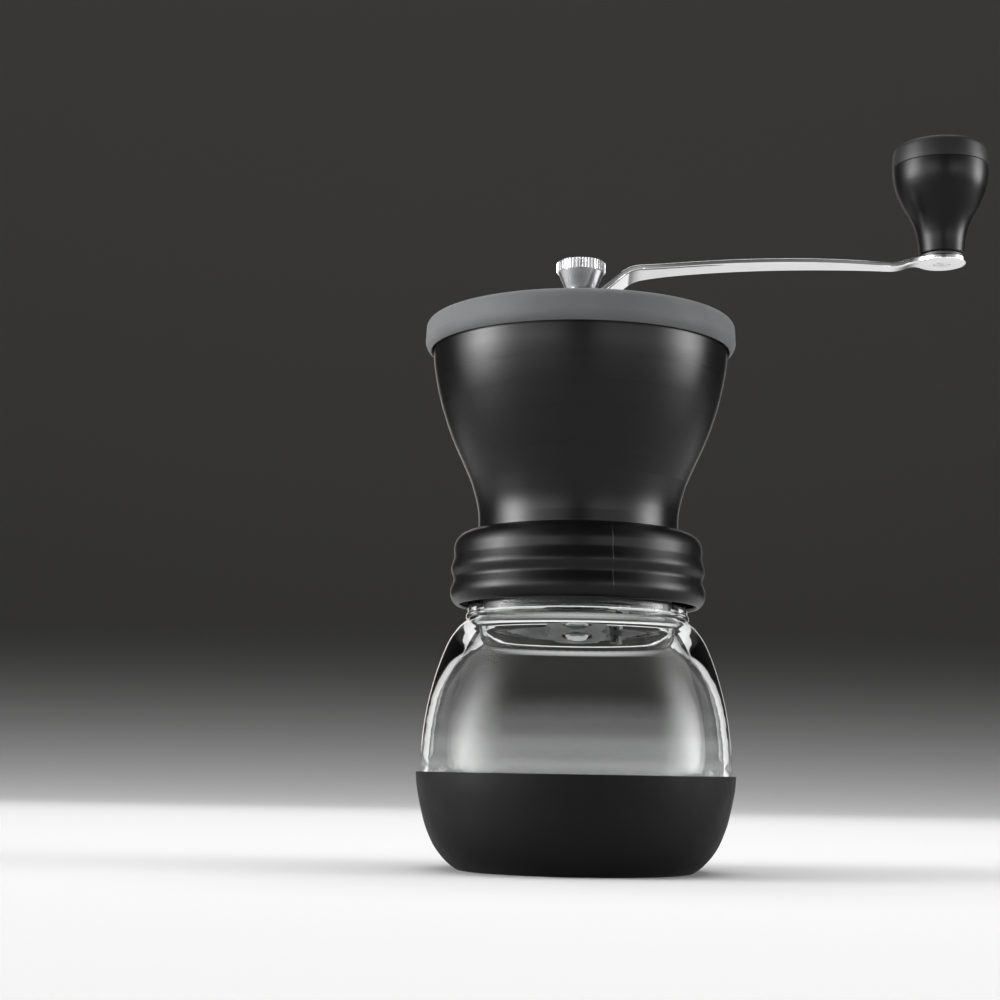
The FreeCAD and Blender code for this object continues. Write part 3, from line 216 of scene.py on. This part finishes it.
class Finish:
    """A surface finish built from nodes, in the object's own coordinates (metres)."""

    def __init__(self, name):
        self.mat = bpy.data.materials.new(name)
        self.mat.use_nodes = True
        self.tree = self.mat.node_tree
        self.tree.nodes.clear()
        self.out = self.tree.nodes.new("ShaderNodeOutputMaterial")
        self.bsdf = self.tree.nodes.new("ShaderNodeBsdfPrincipled")
        self.tree.links.new(self.bsdf.outputs[0], self.out.inputs[0])
        self.place = self.tree.nodes.new("ShaderNodeTexCoord").outputs["Object"]
        self.normal = None

    def set(self, **values):
        for key, value in values.items():
            socket = self.bsdf.inputs[key.replace("_", " ")]
            socket.default_value = value
        return self

    def stretched(self, scale):
        n = self.tree.nodes.new("ShaderNodeMapping")
        n.inputs["Scale"].default_value = scale
        self.tree.links.new(self.place, n.inputs["Vector"])
        return n.outputs[0]

    def noise(self, scale, detail=3.0, roughness=0.55, distortion=0.0):
        if isinstance(scale, (int, float)):
            scale = (scale, scale, scale)
        n = self.tree.nodes.new("ShaderNodeTexNoise")
        n.inputs["Scale"].default_value = 1.0
        n.inputs["Detail"].default_value = detail
        n.inputs["Roughness"].default_value = roughness
        n.inputs["Distortion"].default_value = distortion
        self.tree.links.new(self.stretched(scale), n.inputs["Vector"])
        return n.outputs["Fac"]

    def cells(self, scale, feature="F1"):
        n = self.tree.nodes.new("ShaderNodeTexVoronoi")
        n.feature = feature
        n.inputs["Scale"].default_value = 1.0
        if isinstance(scale, (int, float)):
            scale = (scale, scale, scale)
        self.tree.links.new(self.stretched(scale), n.inputs["Vector"])
        return n

    def ramp(self, fac, stops):
        n = self.tree.nodes.new("ShaderNodeValToRGB")
        while len(n.color_ramp.elements) < len(stops):
            n.color_ramp.elements.new(0.5)
        for e, (at, colour) in zip(n.color_ramp.elements, stops):
            e.position = at
            if isinstance(colour, (int, float)):
                colour = (colour, colour, colour)
            e.color = (*colour, 1.0)
        self.tree.links.new(fac, n.inputs[0])
        return n.outputs[0]

    def between(self, fac, low, high, from_low=0.25, from_high=0.75):
        n = self.tree.nodes.new("ShaderNodeMapRange")
        n.inputs["From Min"].default_value = from_low
        n.inputs["From Max"].default_value = from_high
        n.inputs["To Min"].default_value = low
        n.inputs["To Max"].default_value = high
        self.tree.links.new(fac, n.inputs["Value"])
        return n.outputs[0]

    def mix(self, fac, a, b):
        n = self.tree.nodes.new("ShaderNodeMix")
        n.data_type = "RGBA"
        self.tree.links.new(fac, n.inputs["Factor"])
        for socket, value in ((n.inputs[6], a), (n.inputs[7], b)):
            if hasattr(value, "is_linked"):
                self.tree.links.new(value, socket)
            else:
                socket.default_value = (*value, 1.0)
        return n.outputs[2]

    def maths(self, kind, a, b=None):
        n = self.tree.nodes.new("ShaderNodeMath")
        n.operation = kind
        for i, value in enumerate((a, b)):
            if value is None:
                continue
            if hasattr(value, "is_linked"):
                self.tree.links.new(value, n.inputs[i])
            else:
                n.inputs[i].default_value = value
        return n.outputs[0]

    def colour(self, socket):
        self.tree.links.new(socket, self.bsdf.inputs["Base Color"])
        return self

    def rough(self, socket):
        self.tree.links.new(socket, self.bsdf.inputs["Roughness"])
        return self

    def bump(self, height, strength, distance):
        n = self.tree.nodes.new("ShaderNodeBump")
        n.inputs["Strength"].default_value = strength
        n.inputs["Distance"].default_value = distance
        self.tree.links.new(height, n.inputs["Height"])
        if self.normal is not None:
            self.tree.links.new(self.normal, n.inputs["Normal"])
        self.normal = n.outputs[0]
        self.tree.links.new(self.normal, self.bsdf.inputs["Normal"])
        return self

    def turned_grain(self):
        t = self.tree.nodes.new("ShaderNodeTangent")
        t.direction_type = "RADIAL"
        t.axis = "Z"
        self.tree.links.new(t.outputs[0], self.bsdf.inputs["Tangent"])
        return self


def glass():
    f = Finish("clear_glass")
    f.set(Base_Color=(0.975, 0.985, 0.98, 1.0), IOR=1.45, Transmission_Weight=1.0, Specular_Tint=(0.02, 0.02, 0.02, 1.0))
    f.rough(f.between(f.noise(70.0, 4.0), 0.0, 0.03))
    return f.mat


def boot_rubber():
    f = Finish("boot_rubber")
    cloud = f.noise(55.0, 4.0)
    base = f.ramp(cloud, [(0.3, (0.0022, 0.0022, 0.0023)), (0.7, (0.0035, 0.0035, 0.0036))])
    dust = f.cells(420.0).outputs["Distance"]
    speck = f.between(dust, 1.0, 0.0, 0.05, 0.10)
    base = f.mix(f.maths("MULTIPLY", speck, f.between(f.noise(90.0, 2.0), 0.0, 0.4, 0.5, 0.7)), base, (0.04, 0.04, 0.039))
    f.colour(base)
    f.rough(f.between(f.noise(140.0, 5.0), 0.50, 0.66))
    f.set(Sheen_Weight=0.01, Sheen_Roughness=0.35, Specular_IOR_Level=0.11)
    f.bump(f.noise(2600.0, 3.0), 0.22, 0.00006)
    f.bump(f.noise(30.0, 2.0), 0.10, 0.0005)
    return f.mat


def collar_plastic():
    f = Finish("collar_plastic")
    f.colour(f.ramp(f.noise(60.0, 3.0), [(0.3, (0.0018, 0.0018, 0.0019)), (0.7, (0.0027, 0.0027, 0.0028))]))
    f.rough(f.between(f.noise(180.0, 5.0), 0.29, 0.37))
    f.set(Specular_IOR_Level=0.17)
    f.bump(f.noise(3200.0, 2.0), 0.14, 0.00004)
    f.bump(f.noise(40.0, 2.0), 0.06, 0.0004)
    return f.mat


def hopper_metal():
    f = Finish("hopper_metal")
    lines = f.noise((9.0, 9.0, 5200.0), 3.0, 0.6)
    broad = f.noise((7.0, 7.0, 420.0), 3.0, 0.6)
    f.colour(f.ramp(broad, [(0.3, (0.0014, 0.0014, 0.00135)), (0.7, (0.0020, 0.0020, 0.00195))]))
    f.rough(f.maths("ADD", f.between(lines, 0.25, 0.31), f.between(broad, 0.0, 0.03)))
    f.set(Specular_IOR_Level=0.21, Anisotropic=0.35, Anisotropic_Rotation=0.25)
    f.turned_grain()
    f.bump(lines, 0.035, 0.00003)
    return f.mat


def lid_silicone():
    f = Finish("lid_silicone")
    f.colour(f.ramp(f.noise(45.0, 4.0), [(0.3, (0.074, 0.075, 0.077)), (0.7, (0.090, 0.091, 0.093))]))
    f.rough(f.between(f.noise(200.0, 4.0), 0.58, 0.70))
    f.set(Subsurface_Weight=0.35, Subsurface_Radius=(1.0, 1.0, 1.0), Subsurface_Scale=0.0015,
          Sheen_Weight=0.05, Sheen_Roughness=0.4, Specular_IOR_Level=0.14)
    f.bump(f.noise(2200.0, 3.0), 0.16, 0.00004)
    f.bump(f.noise(28.0, 2.0), 0.10, 0.0006)
    return f.mat


def steel(name, shade, low, high, grain, strength=0.06, anisotropic=0.0, rotation=0.0, radial=False):
    f = Finish(name)
    lines = f.noise(grain, 3.0, 0.6)
    smear = f.noise(60.0, 4.0)
    f.colour(f.ramp(smear, [(0.25, tuple(c * 0.93 for c in shade)), (0.75, shade)]))
    f.rough(f.maths("ADD", f.between(lines, low, high), f.between(smear, 0.0, 0.02)))
    f.set(Metallic=1.0, Anisotropic=anisotropic, Anisotropic_Rotation=rotation)
    if radial:
        f.turned_grain()
    f.bump(lines, strength, 0.00003)
    return f.mat


def moulded(name, dark, light, low, high, grain=3000.0, strength=0.15, specular=0.5):
    f = Finish(name)
    f.colour(f.ramp(f.noise(70.0, 4.0), [(0.3, dark), (0.7, light)]))
    f.rough(f.between(f.noise(190.0, 5.0), low, high))
    f.set(Specular_IOR_Level=specular)
    f.bump(f.noise(grain, 3.0), strength, 0.00004)
    f.bump(f.noise(35.0, 2.0), 0.05, 0.0004)
    return f.mat


def ceramic():
    f = Finish("ceramic")
    f.colour(f.ramp(f.noise(120.0, 5.0), [(0.3, (0.70, 0.675, 0.63)), (0.7, (0.80, 0.78, 0.74))]))
    f.rough(f.between(f.noise(300.0, 4.0), 0.48, 0.66))
    f.set(Subsurface_Weight=0.1, Subsurface_Scale=0.0006)
    f.bump(f.noise(2600.0, 4.0), 0.2, 0.00005)
    return f.mat


GLASS = glass()
BOOT = boot_rubber()
COLLAR = collar_plastic()
HOPPER = hopper_metal()
LID = lid_silicone()
ARM = steel("arm_steel", (0.88, 0.88, 0.885), 0.04, 0.10, (45.0, 2600.0, 2600.0), 0.05)
NUT = steel("nut_steel", (0.62, 0.62, 0.63), 0.20, 0.27, (60.0, 60.0, 5200.0), 0.05)
AXLE = steel("axle_steel", (0.74, 0.74, 0.75), 0.12, 0.22, (900.0, 900.0, 900.0), 0.04)
PLAIN = steel("plain_steel", (0.56, 0.56, 0.57), 0.22, 0.36, (80.0, 80.0, 4200.0), 0.08)
SCREW = steel("screw_steel", (0.10, 0.10, 0.105), 0.25, 0.40, (700.0, 700.0, 700.0), 0.06)
SPRING = steel("spring_steel", (0.36, 0.36, 0.37), 0.22, 0.36, (300.0, 300.0, 300.0), 0.08)
BRASS = steel("brass", (0.75, 0.55, 0.26), 0.20, 0.34, (90.0, 90.0, 4200.0), 0.07)
KNOB = moulded("knob_plastic", (0.0018, 0.0018, 0.0019), (0.0028, 0.0028, 0.0029), 0.27, 0.35, 2800.0, 0.10, 0.16)
CAP = moulded("cap_plastic", (0.009, 0.009, 0.0092), (0.013, 0.013, 0.0132), 0.36, 0.46, 2800.0, 0.12, 0.20)
INNER = moulded("inner_plastic", (0.014, 0.014, 0.0145), (0.022, 0.022, 0.0225), 0.38, 0.52)
WASHER = moulded("washer_plastic", (0.012, 0.012, 0.0122), (0.018, 0.018, 0.0182), 0.42, 0.55)
BUSH = moulded("bush_plastic", (0.60, 0.58, 0.52), (0.70, 0.68, 0.62), 0.35, 0.48)
SEAL = moulded("seal_silicone", (0.62, 0.62, 0.60), (0.72, 0.72, 0.70), 0.38, 0.52, 2200.0, 0.12)
CERAMIC = ceramic()

FINISHES = {
    "glass_jar": GLASS, "base_boot": BOOT, "jar_gasket": SEAL, "threaded_collar": COLLAR,
    "hopper": HOPPER, "bearing_bridge": INNER, "upper_bush": BUSH, "lower_bush": BUSH,
    "bridge_screws": SCREW, "retainer_screws": SCREW, "outer_burr": CERAMIC, "burr_retainer": INNER,
    "drive_shaft": PLAIN, "shaft_circlip": SPRING, "thrust_washer": PLAIN, "grind_spring": SPRING,
    "inner_burr": CERAMIC, "burr_hub": INNER, "detent_washer": PLAIN, "adjusting_nut": INNER,
    "adjuster_insert": BRASS, "hopper_lid": LID, "crank_arm": ARM, "knob_axle": AXLE,
    "knob_washer": WASHER, "knob_retainer": SPRING, "knob_grip": KNOB, "knob_cap": CAP,
    "nut_washer": AXLE, "thumb_nut": NUT,
}
for name, ob in NODES.items():
    ob.data.materials.clear()
    ob.data.materials.append(FINISHES[name])

# ---------------------------------------------------------------------------
# fine mould line down the front of the collar
# ---------------------------------------------------------------------------


def mould_line(name, node, body, finish, turn_deg, z_low, z_high, half, proud):
    """A hair-thin ridge that follows a turned piece's side from bottom to top."""
    solid = NODES[node]
    a = math.radians(turn_deg)
    out = Vector((math.sin(a), -math.cos(a), 0.0))
    along = Vector((math.cos(a), math.sin(a), 0.0))
    bm = bmesh.new()
    rows = []
    steps = 90
    for k in range(steps + 1):
        z = z_low + (z_high - z_low) * k / steps
        hit, spot, normal, face = solid.ray_cast(out * 0.2 + Vector((0.0, 0.0, z)), -out)
        if not hit:
            continue
        r = spot.xy.length
        rows.append([bm.verts.new(out * (r + d) + along * w + Vector((0.0, 0.0, z)))
                     for w, d in ((-half, -0.00006), (-half * 0.5, proud * 0.8), (0.0, proud),
                                  (half * 0.5, proud * 0.8), (half, -0.00006))])
    for a_row, b_row in zip(rows, rows[1:]):
        for k in range(4):
            bm.faces.new((a_row[k], a_row[k + 1], b_row[k + 1], b_row[k]))
        bm.faces.new((a_row[4], a_row[0], b_row[0], b_row[4]))
    bm.faces.new(list(reversed(rows[0])))
    bm.faces.new(rows[-1])
    bmesh.ops.recalc_face_normals(bm, faces=bm.faces)
    mesh = bpy.data.meshes.new(name)
    bm.to_mesh(mesh)
    bm.free()
    for poly in mesh.polygons:
        poly.use_smooth = True
    mesh.materials.append(finish)
    piece = bpy.data.objects.new(name, mesh)
    scene.collection.objects.link(piece)
    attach(piece, body)
    return piece


LINE = moulded("mould_line_plastic", (0.003, 0.003, 0.0031), (0.0045, 0.0045, 0.0046), 0.30, 0.38, 2800.0, 0.08, 0.2)
mould_line("collar_mould_line", "threaded_collar", "mill", LINE, 15.3, 0.0790, 0.0994, 0.00016, 0.00006)
